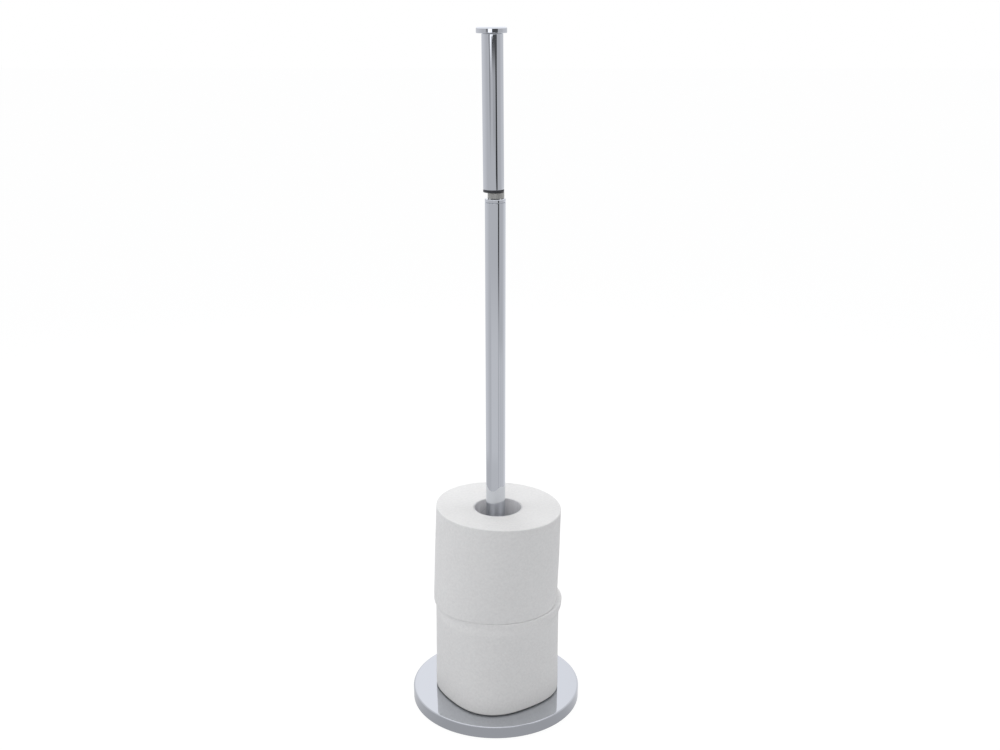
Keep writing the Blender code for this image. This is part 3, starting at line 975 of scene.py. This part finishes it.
@dataclass(frozen=True)
class Section:
    """A roll's outline at one share of its height. The other shares are of the roll's radius."""

    height_share: float
    x_share: float
    y_share: float
    radius_share: float
    lobes: tuple[Lobe, ...] = ()

    def terms(self, turns: np.ndarray) -> tuple[np.ndarray, np.ndarray, np.ndarray]:
        """Gives the middle and the radius towards each direction, as shares.

        Args:
            turns: Directions in radians.

        Returns:
            Middle x, middle y and radius, each as an array.
        """
        radius = np.full_like(turns, self.radius_share)
        for lobe in self.lobes:
            radius = radius + lobe.height_share * np.cos(lobe.crests * (turns - math.radians(lobe.degrees)))
        return np.full_like(turns, self.x_share), np.full_like(turns, self.y_share), radius


LOWER_SECTIONS = (
    Section(0.00, 0.016, -0.064, 0.985, (Lobe(4, 0.039, -10),)),
    Section(0.45, 0.020, -0.010, 0.993, (Lobe(4, 0.023, -10),)),
    Section(0.86, 0.026, 0.005, 1.008),
    Section(0.95, 0.050, 0.015, 1.007, (Lobe(2, 0.020, 0),)),
    Section(1.00, 0.050, 0.015, 1.007, (Lobe(2, 0.026, 0),)),
)
UPPER_SECTIONS = (
    Section(0.00, -0.006, 0.035, 1.025, (Lobe(4, 0.015, 45),)),
    Section(0.50, 0.020, 0.033, 1.009, (Lobe(2, 0.020, -48),)),
    Section(1.00, 0.043, 0.027, 0.996, (Lobe(2, 0.050, -44), Lobe(4, 0.008, 45))),
)


@dataclass
class StoredRoll:
    """A stored roll: wound tissue, squeezed out of round in its pack, on a board core."""

    name: str
    body: Body
    sections: tuple[Section, ...]
    core_shares: tuple[float, float]
    tail_degrees: float
    eased: bool = False
    radius: float = 61.0 * MM
    foot_edge: float = 0.9 * MM
    edge_radius: float = 0.9 * MM
    core_radius: float = 23.6 * MM
    core_wall: float = 0.9 * MM
    core_edge: float = 0.25 * MM
    core_gap: float = 0.3 * MM
    around: int = 448
    up: int = 96
    across: int = 18
    emboss_pitch: float = 4.2 * MM
    emboss_depth: float = 0.07 * MM
    crease_degrees: float = 50.0
    tail_lift: float = 0.25 * MM
    tail_gap: float = 0.105 * MM
    tail_thickness: float = 0.12 * MM
    tail_rows: int = 88
    tail_columns: int = 28
    tail_length_degrees: float = 17.0
    tooth_pitch: float = 3.4 * MM
    tooth_height: float = 0.7 * MM

    def build(self) -> None:
        """Builds the paper, its loose end and the core."""
        self.paper()
        self.tail()
        self.core()

    def bottom_top(self) -> tuple[float, float]:
        """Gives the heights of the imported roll's two ends."""
        low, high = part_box(self.name + "_core")
        return low.z, high.z

    def core_middle(self) -> Vector:
        """Gives the middle of the core in plan."""
        return Vector((*self.core_shares, 0.0)) * self.radius

    def outline(self, height_share: float, turns: np.ndarray, inset: float = 0.0) -> np.ndarray:
        """Gives the roll's outline at one height.

        Args:
            height_share: Share of the roll's height.
            turns: Directions in radians.
            inset: How far inside the outline to stay.

        Returns:
            x and y of each point.
        """
        sections = self.sections
        at = max(i for i, s in enumerate(sections[:-1]) if s.height_share <= height_share or i == 0)
        low, high = sections[at], sections[at + 1]
        blend = (height_share - low.height_share) / (high.height_share - low.height_share)
        if self.eased:
            blend = blend * blend * (3 - 2 * blend)
        x, y, reach = (
            (a + (b - a) * blend) * self.radius for a, b in zip(low.terms(turns), high.terms(turns)))
        reach = reach - inset
        return np.stack([x + reach * np.cos(turns), y + reach * np.sin(turns)], axis=1)

    def side_rings(self, height: float) -> Profile:
        """Gives (inset, height) of the side's rings, with the rounded edges.

        Args:
            height: The roll's height.

        Returns:
            One pair for each ring, from the foot up.
        """
        foot, edge = self.foot_edge, self.edge_radius
        low = [(foot - a, b) for a, b in arc(0, foot, foot, -90, 0, 6)]
        high = [(edge - a, b) for a, b in arc(0, height - edge, edge, 0, 90, 5)]
        between = [(0.0, foot + (height - foot - edge) * k / self.up) for k in range(1, self.up)]
        return low + between + high

    def paper(self) -> None:
        """Builds the wound paper: side, two ends with their wound layers, and the bore."""
        bottom, top = self.bottom_top()
        height = top - bottom
        turns = np.linspace(0, math.tau, self.around, endpoint=False)
        circle = np.stack([np.cos(turns), np.sin(turns)], axis=1)
        hole = circle * (self.core_radius + self.core_gap) + self.core_middle().to_2d()
        under = self.outline(0.0, turns, self.foot_edge)
        over = self.outline(1.0, turns, self.edge_radius)
        # Each ring's points, height, share of the way out from the bore, and 1 where it is on an end
        rings = [(hole + (under - hole) * share, bottom, share, 1.0)
                 for share in np.linspace(0, 1, self.across, endpoint=False)]
        rings += [(self.outline(level / height, turns, inset), bottom + level, 1.0, 0.0)
                  for inset, level in self.side_rings(height)]
        rings += [(hole + (over - hole) * share, top, share, 1.0)
                  for share in np.linspace(1, 0, self.across + 1)[1:]]
        points = np.concatenate([
            np.column_stack([flat, np.full(self.around, level)]) for flat, level, _, _ in rings])
        paper = mesh_object(self.name + "_tissue", points, grid_faces(len(rings), self.around, True))
        self.mark(paper, points, *np.array([ring[2:] for ring in rings]).T)
        self.emboss(paper)
        hand_over(paper, TISSUE, self.body, self.name + "_paper")

    def mark(self, paper: Piece, points: np.ndarray, layers: np.ndarray, ends: np.ndarray) -> None:
        """Stores on each vertex what the tissue's patterns follow, and unrolls the side as a UV map.

        Args:
            paper: The wound paper.
            points: Its points, ring after ring.
            layers: Share of the way from the bore to the outside, for each ring.
            ends: One for a ring on an end face, nought for one on the side.
        """
        mesh, whole = paper.data, math.tau * self.radius
        turn = np.tile(np.linspace(0, whole, self.around, endpoint=False), len(layers))
        values = {
            "layers": np.repeat(layers * (self.radius - self.core_radius), self.around),
            "end_face": np.repeat(ends, self.around), "arc_length": turn}
        for label, value in values.items():
            mesh.attributes.new(label, "FLOAT", "POINT").data.foreach_set("value", value.astype(np.float32))
        corner = np.empty(len(mesh.loops), np.int32)
        mesh.loops.foreach_get("vertex_index", corner)
        flat = np.stack([turn, points[:, 2]], axis=1)[corner].reshape(-1, 4, 2)
        along = flat[:, :, 0]
        # A face that crosses the map's start would run back over all of it
        along[(np.ptp(along, axis=1) > whole / 2)[:, None] & (along < whole / 2)] += whole
        mesh.uv_layers.new(name="wrap").data.foreach_set("uv", flat.reshape(-1).astype(np.float32))

    def emboss(self, paper: Piece) -> None:
        """Presses the sheet's small cushions into the side with geometry nodes.

        Args:
            paper: The wound paper, with its attributes.
        """
        whole = math.tau * self.radius
        sizes = {"Across": whole / round(whole / self.emboss_pitch), "Up": self.emboss_pitch,
                 "Depth": self.emboss_depth}
        tree, sockets = geometry_tree(paper.name + "_emboss", sizes)
        level = add(tree, "ShaderNodeSeparateXYZ", {0: add(tree, "GeometryNodeInputPosition")}, "Z")
        around, end = (
            add(tree, "GeometryNodeInputNamedAttribute", {"Name": label}, data_type="FLOAT")
            for label in ("arc_length", "end_face"))
        on_side = add(tree, "ShaderNodeMath", {0: 1.0, 1: end}, operation="SUBTRACT")
        pressed = add(tree, "ShaderNodeMath", {0: on_side, 1: sockets["Depth"]}, operation="MULTIPLY")
        for length, pitch in ((around, "Across"), (level, "Up")):
            turns = add(tree, "ShaderNodeMath", {0: length, 1: sockets[pitch]}, operation="DIVIDE")
            angle = add(tree, "ShaderNodeMath", {0: turns, 1: math.tau}, operation="MULTIPLY")
            wave = add(tree, "ShaderNodeMath", {0: angle}, operation="SINE")
            pressed = add(tree, "ShaderNodeMath", {0: pressed, 1: wave}, operation="MULTIPLY")
        push = add(tree, "ShaderNodeVectorMath", {
            0: add(tree, "GeometryNodeInputNormal"), "Scale": pressed}, operation="SCALE")
        moved = add(tree, "GeometryNodeSetPosition", {"Geometry": sockets["Geometry"], "Offset": push})
        grow(paper, tree, moved, TISSUE, sizes)
        paper.data.shade_smooth()
        paper.data.set_sharp_from_angle(angle=math.radians(self.crease_degrees))

    def tail(self) -> None:
        """Builds the loose end of the paper, torn along its perforation, at the back of the roll."""
        bottom, top = self.bottom_top()
        height, count = top - bottom, 2 * self.tail_columns
        shares = np.linspace(0, 1, self.tail_columns)
        lift = (self.tail_lift * shares**2 + self.tail_gap)[:, None]
        rings = []
        for level in np.linspace(
                self.foot_edge + self.edge_radius, height - 2 * self.edge_radius, self.tail_rows):
            tooth = abs((level / self.tooth_pitch) % 1 - 0.5) * 2 * self.tooth_height / self.radius
            turns = math.radians(self.tail_degrees) + shares * (
                math.radians(self.tail_length_degrees) + tooth)
            skin = self.outline(level / height, turns)
            out = skin - self.outline(level / height, turns, self.radius / 2)
            out /= np.linalg.norm(out, axis=1, keepdims=True)
            inside, outside = skin + out * lift, skin + out * (lift + self.tail_thickness)
            flat = np.concatenate([outside, inside[::-1]])
            rings.append(np.column_stack([flat, np.full(count, bottom + level)]))
        faces = grid_faces(len(rings), count, False)
        for first in (0, (len(rings) - 1) * count):
            last = first + count - 1
            faces += [(first + i, first + i + 1, last - i - 1, last - i) for i in range(len(shares) - 1)]
        tail = mesh_object(self.name + "_loose_end", np.concatenate(rings), faces)
        wrap_uv(tail, self.radius)
        hand_over(tail, TISSUE, self.body)

    def core(self) -> None:
        """Builds the core: a board tube with cut ends."""
        bottom, top = self.bottom_top()
        inner, edge = self.core_radius - self.core_wall, self.core_edge
        profile = side(self.core_radius, bottom, top, edge, edge, steps=(3, 3))
        profile += arc(inner + edge, top - edge, edge, 90, 180, 3) + [(inner, (bottom + top) / 2)]
        profile += arc(inner + edge, bottom + edge, edge, 180, 270, 3)
        core = turned(self.name + "_board_core", profile, sides=160)
        wrap_uv(core, 1 / math.tau)
        core.data.transform(Matrix.Translation(self.core_middle()))
        hand_over(core, BOARD_WITH_PAINTED_LIGHT, self.body, self.name + "_core")


@dataclass(frozen=True)
class Panel:
    """A darker or brighter upright panel of the light tent, which shows in the metal.

    Its angle is from the front, positive to the right. It stands between two heights, and each end has its
    own fade, inwards at the foot and outwards at the top.
    """

    degrees: float
    half_width: float
    softness: float
    level: float
    foot: float
    top: float
    foot_fade: float = 0.05
    top_fade: float = 0.05


@dataclass(frozen=True)
class Softbox:
    """A square softbox that faces the holder."""

    name: str
    place: tuple[float, float, float]
    size: float
    watts: float


@dataclass
class Studio:
    """The white studio: a pale floor, soft light, a light tent that only metal reflects, and the camera."""

    floor_half: float = 12.0
    floor_colour: str = "#C3C4C6"
    floor_white_share: float = 0.8
    floor_white: float = 1.18
    tent_radius: float = 0.55
    tent_height: float = 1.35
    # Where the tent's cloth bends, as shares of its radius and its height
    tent_shares: tuple[tuple[float, float], ...] = ((1.0, 0.75), (0.7, 0.95))
    tent_sides: int = 128
    sheet_height: float = 0.2 * MM
    tent_tint: tuple[float, float, float] = (0.995, 1.0, 1.035)
    tent_bounce_share: float = 0.12
    brightest: float = 1.3
    # Level of the tent's cloth by the angle from the front in degrees, positive to the right
    cloth_levels: tuple[tuple[float, float], ...] = (
        (-180, 1.03), (-167, 1.05), (-160, 0.80), (-152, 0.76), (-135, 0.775), (-112, 0.765), (-94, 0.72),
        (-77, 0.655), (-62, 0.605), (-48, 0.625), (-36, 0.605), (-28, 0.615), (10, 0.61), (60, 0.585),
        (85, 0.61), (98, 0.67), (113, 0.80), (135, 0.84), (158, 0.84), (167, 0.99), (180, 1.03))
    # Level of the sheet that the holder stands on, by the same angle: its glow is painted floor light and
    # shade that only the metal reflects, darker in front of the holder than behind
    sheet_levels: tuple[tuple[float, float], ...] = (
        (-180, 0.95), (-120, 0.80), (-90, 0.64), (-60, 0.50), (-40, 0.45), (40, 0.45), (60, 0.49),
        (90, 0.70), (120, 0.85), (180, 0.95))
    # The last one is the ceiling, all the way round
    panels: tuple[Panel, ...] = (
        Panel(-9, 36, 6, 0.72, -0.1, 0.19, top_fade=0.17),
        Panel(80, 14, 8, 0.69, -0.1, 0.19),
        Panel(50, 5, 4, 0.72, -0.1, 0.19),
        Panel(37.5, 4, 3, 0.56, -0.1, 0.20),
        Panel(-90, 30, 14, 0.60, -0.1, 0.035, top_fade=0.035),
        Panel(-9, 36, 10, 0.655, -0.1, 0.035, top_fade=0.035),
        Panel(130, 28, 14, 0.72, 0.42, 0.66, foot_fade=0.04),
        Panel(37, 5, 3, 0.03, 0.20, 0.66, foot_fade=0.17),
        Panel(35, 7, 4, 0.04, 0.43, 0.66, foot_fade=0.03),
        Panel(14, 12, 5, 0.50, 0.47, 0.60, top_fade=0.02),
        Panel(19, 27, 3, 0.09, 0.575, 0.66),
        Panel(-30, 3.5, 4, 0.30, 0.45, 0.66, foot_fade=0.13),
        Panel(-36, 6, 4, 0.42, 0.605, 0.627, foot_fade=0.015, top_fade=0.004),
        Panel(-33.5, 5, 3, 0.22, 0.627, 0.66, foot_fade=0.004),
        Panel(-17, 6, 3, 1.60, 0.572, 0.66, foot_fade=0.065),
        Panel(-6, 9, 2, 1.60, 0.6245, 0.66, foot_fade=0.003),
        Panel(0, 181, 1, 1.18, 0.70, 2.0, foot_fade=0.1),
    )
    horizon_strength: float = 1.13
    zenith_strength: float = 0.09
    lamp_aim_height: float = 0.15
    softboxes: tuple[Softbox, ...] = (
        Softbox("top_softbox", (0.0, 0.3, 1.0), 0.7, 2.25),
        Softbox("left_softbox", (-0.8, 0.0, 0.8), 0.7, 1.8),
        Softbox("right_softbox", (0.9, 0.2, 0.7), 0.6, 1.5),
        Softbox("back_softbox", (-0.3, 1.0, 1.0), 0.8, 3.2),
        Softbox("front_softbox", (-0.4, -1.2, 1.0), 0.8, 2.5),
    )
    focal_length: float = 42.71
    sensor_width: float = 36.0
    clip_start: float = 10 * MM
    camera_place: tuple[float, float, float] = (4.2 * MM, -1061.59 * MM, 669.05 * MM)
    camera_pitch: float = 21.59
    camera_shift: float = 0.094

    def build(self) -> None:
        """Sets up the floor, the light and the camera."""
        bpy.context.scene.view_settings.view_transform = "Standard"
        self.floor()
        self.world()
        self.tent()
        for box in self.softboxes:
            self.lamp(box)
        self.camera()

    def white_where_seen(self, tree: Tree) -> Socket:
        """Gives one for rays from the camera, reflected in metal or seen through glass.

        Args:
            tree: The tree that asks.

        Returns:
            The socket with that one or nought.
        """
        path = add(tree, "ShaderNodeLightPath").node.outputs
        seen = path["Is Camera Ray"]
        for other in ("Is Glossy Ray", "Is Transmission Ray"):
            seen = add(tree, "ShaderNodeMath", {0: seen, 1: path[other]}, operation="MAXIMUM")
        return seen

    def floor(self) -> None:
        """Lays a pale floor that is nearly white to the camera and keeps the holder's shadow."""
        half = self.floor_half
        corners = [(-half, -half, 0), (half, -half, 0), (half, half, 0), (-half, half, 0)]
        floor = mesh_object("studio_floor", corners, [(0, 1, 2, 3)])
        material = bpy.data.materials.new("studio_floor_paper")
        tree = cleared(material)
        share = add(tree, "ShaderNodeMath", {
            0: self.white_where_seen(tree), 1: self.floor_white_share}, operation="MULTIPLY")
        mixed = add(tree, "ShaderNodeMixShader", {
            0: share, 1: add(tree, "ShaderNodeBsdfDiffuse", {"Color": linear(self.floor_colour)}),
            2: add(tree, "ShaderNodeEmission", {"Color": WHITE, "Strength": self.floor_white})})
        add(tree, "ShaderNodeOutputMaterial", {"Surface": mixed})
        floor.data.materials.append(material)

    def world(self) -> None:
        """Makes the surroundings white to the camera, and a soft even light for the rest."""
        world = bpy.data.worlds.new("white_studio")
        bpy.context.scene.world = world
        tree = cleared(world)
        towards = add(tree, "ShaderNodeTexCoord", output="Generated")
        height = add(tree, "ShaderNodeMapRange", {
            "Value": add(tree, "ShaderNodeSeparateXYZ", {0: towards}, "Z"),
            "To Min": self.horizon_strength, "To Max": self.zenith_strength})
        soft, white = (
            add(tree, "ShaderNodeBackground", {"Color": WHITE, "Strength": strength})
            for strength in (height, 1.0))
        mixed = add(tree, "ShaderNodeMixShader", {0: self.white_where_seen(tree), 1: soft, 2: white})
        add(tree, "ShaderNodeOutputWorld", {"Surface": mixed})

    def tent(self) -> None:
        """Stands a light tent on its sheet round the holder. Only metal reflects it."""
        radius, height = self.tent_radius, self.tent_height
        profile = [(0, self.sheet_height), (radius, self.sheet_height)]
        profile += [(across * radius, up * height) for across, up in self.tent_shares] + [(0, height)]
        tent = turned("studio_light_tent", profile, self.tent_sides)
        for ray in ("camera", "diffuse", "transmission", "volume_scatter", "shadow"):
            setattr(tent, "visible_" + ray, False)
        tent.data.materials.append(self.tent_cloth())

    def level_ramp(self, tree: Tree, angle: Socket, levels: tuple[tuple[float, float], ...]) -> Socket:
        """Gives the level at an angle.

        Args:
            tree: The material's tree.
            angle: The angle in degrees, from -180 to 180.
            levels: (angle, level) of each stop.

        Returns:
            The socket with the level.
        """
        share = add(tree, "ShaderNodeMapRange", {"Value": angle, "From Min": -180.0, "From Max": 180.0})
        colour = add(tree, "ShaderNodeValToRGB", {0: share})
        stops = colour.node.color_ramp.elements
        for degrees, level in levels:
            at = (degrees + 180) / 360
            stop = stops[0] if at == 0 else stops[-1] if at == 1 else stops.new(at)
            stop.color = (level / self.brightest,) * 3 + (1,)
        return add(tree, "ShaderNodeMath", {0: colour, 1: self.brightest}, operation="MULTIPLY")

    def panel_mask(self, tree: Tree, angle: Socket, height: Socket, panel: Panel) -> Socket:
        """Gives one on a panel and nought off it, with the panel's soft edges.

        Args:
            tree: The material's tree.
            angle: The angle from the front in degrees.
            height: The height on the tent.
            panel: The panel.

        Returns:
            The socket with the mask.
        """
        off = add(tree, "ShaderNodeMath", {0: angle, 1: panel.degrees}, operation="SUBTRACT")
        away = add(tree, "ShaderNodeMath", {0: off}, operation="ABSOLUTE")
        mask = 1.0
        # What is measured, where its edge starts, how wide that is, and the level before and after it
        for value, start, fade, before, after in (
                (away, panel.half_width, panel.softness, 1.0, 0.0),
                (height, panel.foot, panel.foot_fade, 0.0, 1.0),
                (height, panel.top, panel.top_fade, 1.0, 0.0)):
            edge = add(tree, "ShaderNodeMapRange", {
                "Value": value, "From Min": start, "From Max": start + fade, "To Min": before,
                "To Max": after}, interpolation_type="SMOOTHSTEP")
            mask = add(tree, "ShaderNodeMath", {0: mask, 1: edge}, operation="MULTIPLY")
        return mask

    def tent_cloth(self) -> bpy.types.Material:
        """Makes the tent's glow, from the angle round the holder and the height on the tent.

        Returns:
            The material.
        """
        material = bpy.data.materials.new("studio_tent_cloth")
        material.cycles.emission_sampling = "NONE"
        tree = cleared(material)
        place = add(tree, "ShaderNodeTexCoord", output="Object")
        spot = add(tree, "ShaderNodeSeparateXYZ", {0: place}).node.outputs
        front = add(tree, "ShaderNodeMath", {0: spot["Y"], 1: -1.0}, operation="MULTIPLY")
        turn = add(tree, "ShaderNodeMath", {0: spot["X"], 1: front}, operation="ARCTAN2")
        angle = add(tree, "ShaderNodeMath", {0: turn, 1: 180 / math.pi}, operation="MULTIPLY")
        layers = [(self.panel_mask(tree, angle, spot["Z"], panel), panel.level) for panel in self.panels]
        on_sheet = add(tree, "ShaderNodeMath", {
            0: spot["Z"], 1: 2 * self.sheet_height}, operation="LESS_THAN")
        layers.append((on_sheet, self.level_ramp(tree, angle, self.sheet_levels)))
        level = self.level_ramp(tree, angle, self.cloth_levels)
        for mask, above in layers:
            level = add(tree, "ShaderNodeMix", {0: mask, 2: level, 3: above}, data_type="FLOAT")
        bounces = add(tree, "ShaderNodeLightPath", output="Diffuse Depth")
        bounced = add(tree, "ShaderNodeMath", {0: bounces, 1: 0.5}, operation="GREATER_THAN")
        dimmed = add(tree, "ShaderNodeMath", {0: level, 1: self.tent_bounce_share}, operation="MULTIPLY")
        level = add(tree, "ShaderNodeMix", {0: bounced, 2: level, 3: dimmed}, data_type="FLOAT")
        glow = add(tree, "ShaderNodeEmission", {"Color": (*self.tent_tint, 1), "Strength": level})
        add(tree, "ShaderNodeOutputMaterial", {"Surface": glow})
        return material

    def lamp(self, box: Softbox) -> None:
        """Hangs a softbox that faces the rolls. The metal reflects the tent in its place.

        Args:
            box: The softbox.
        """
        light = bpy.data.lights.new(box.name, "AREA")
        light.size = box.size
        light.energy = box.watts
        lamp = bpy.data.objects.new(box.name, light)
        bpy.context.scene.collection.objects.link(lamp)
        lamp.location = box.place
        towards = Vector((0, 0, self.lamp_aim_height)) - Vector(box.place)
        lamp.rotation_euler = towards.to_track_quat("-Z", "Y").to_euler()
        lamp.visible_glossy = False

    def camera(self) -> None:
        """Places the camera at the photograph's viewing angle."""
        lens = bpy.data.cameras.new("camera")
        lens.lens = self.focal_length
        lens.sensor_fit = "HORIZONTAL"
        lens.sensor_width = self.sensor_width
        lens.shift_y = self.camera_shift
        lens.clip_start = self.clip_start
        camera = bpy.data.objects.new("camera", lens)
        bpy.context.scene.collection.objects.link(camera)
        camera.location = self.camera_place
        camera.rotation_euler = (math.radians(90 - self.camera_pitch), 0, 0)
        bpy.context.scene.camera = camera


def main() -> None:
    """Builds the holder and its studio."""
    logging.basicConfig(level=logging.INFO, format="%(name)s: %(message)s")
    Base().build()
    Pole().build()
    Arm().build()
    lower = StoredRoll("lower_roll", Body.LOWER_ROLL, LOWER_SECTIONS, (0.020, -0.016), 75.0, eased=True,
                       foot_edge=2.2 * MM)
    lower.build()
    StoredRoll("upper_roll", Body.UPPER_ROLL, UPPER_SECTIONS, (0.034, -0.035), 118.0).build()
    Studio().build()


if __name__ == "__main__":
    main()
